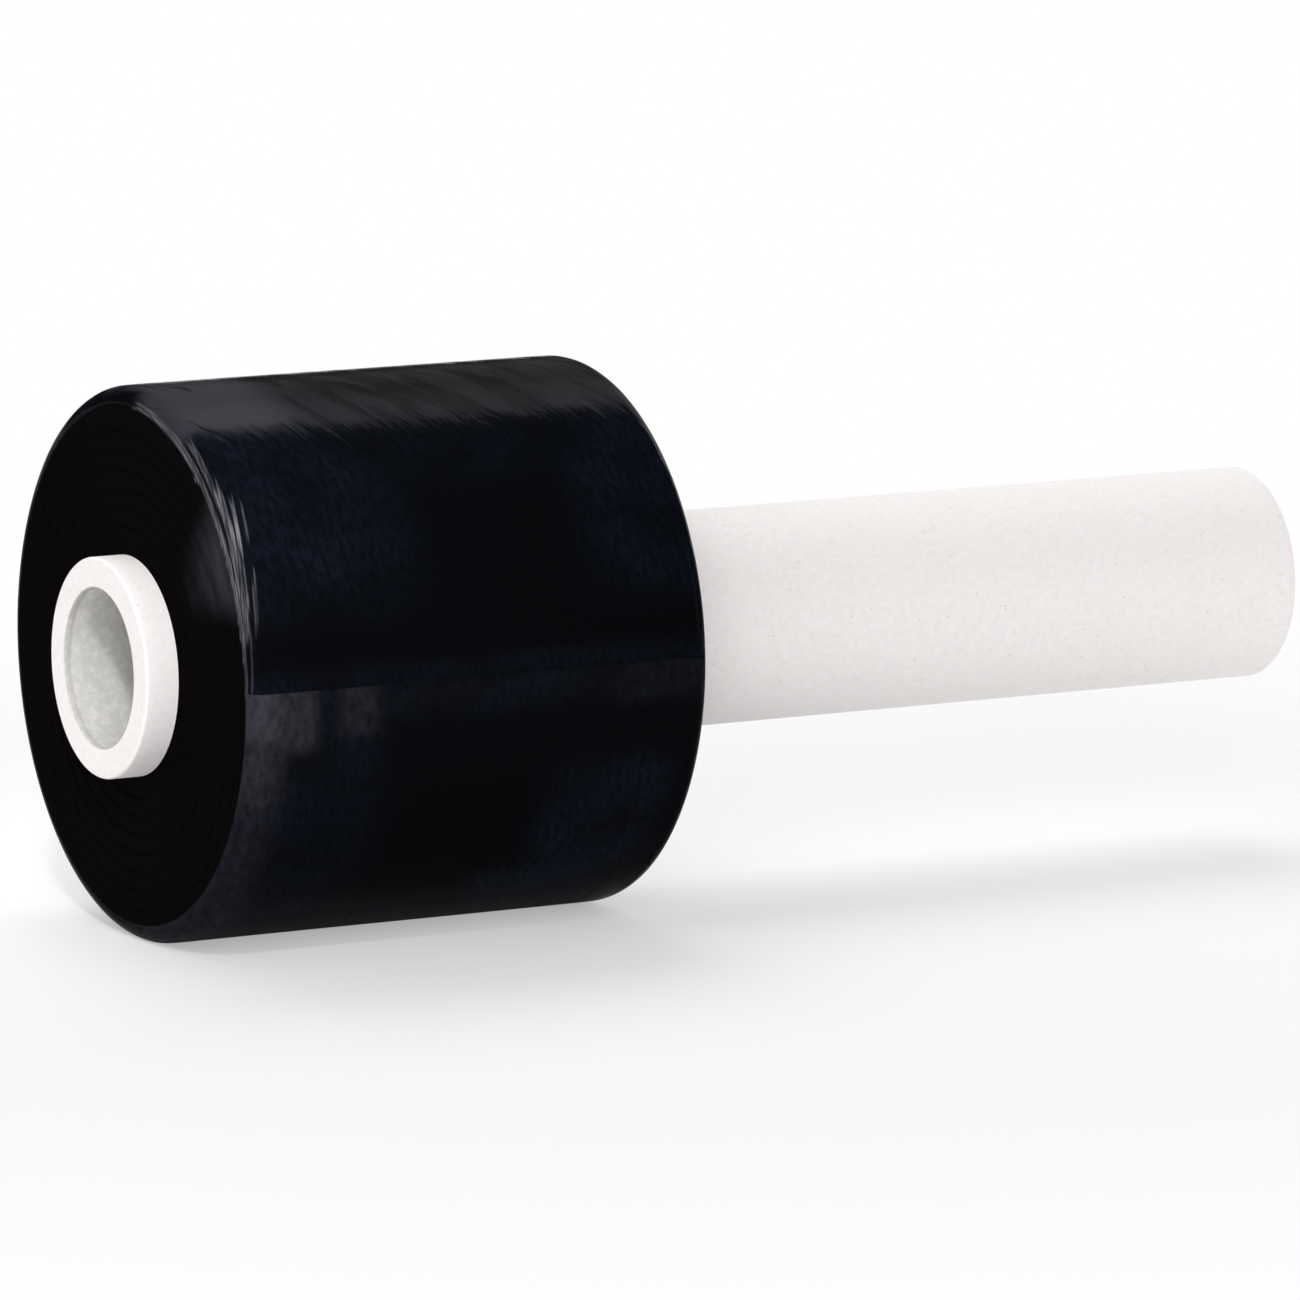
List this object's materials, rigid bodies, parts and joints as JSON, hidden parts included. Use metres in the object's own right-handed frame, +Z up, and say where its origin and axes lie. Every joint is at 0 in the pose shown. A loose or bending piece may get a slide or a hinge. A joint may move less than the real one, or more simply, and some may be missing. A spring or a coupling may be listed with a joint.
{
  "type": "stretch wrap roll",
  "caption": "Hand roll of black stretch film wound on a white paper tube, with a short stub in front and a long bare tube as the handle.",
  "frame": {"origin": "on the resting surface, under the middle of the roll's length and its axis", "axes": "+X along the roll's axis from the short stub towards the handle's end, +Z up from the resting surface"},
  "size_m": [0.2106, 0.088, 0.0878],
  "materials": {
    "paper_core": "white spiral-wound paperboard, matte",
    "stretch_film": "black polyethylene stretch film, glossy"
  },
  "bodies": {
    "root": {"core_tube": "paper_core", "film_roll": "stretch_film"}
  },
  "joints": []
}
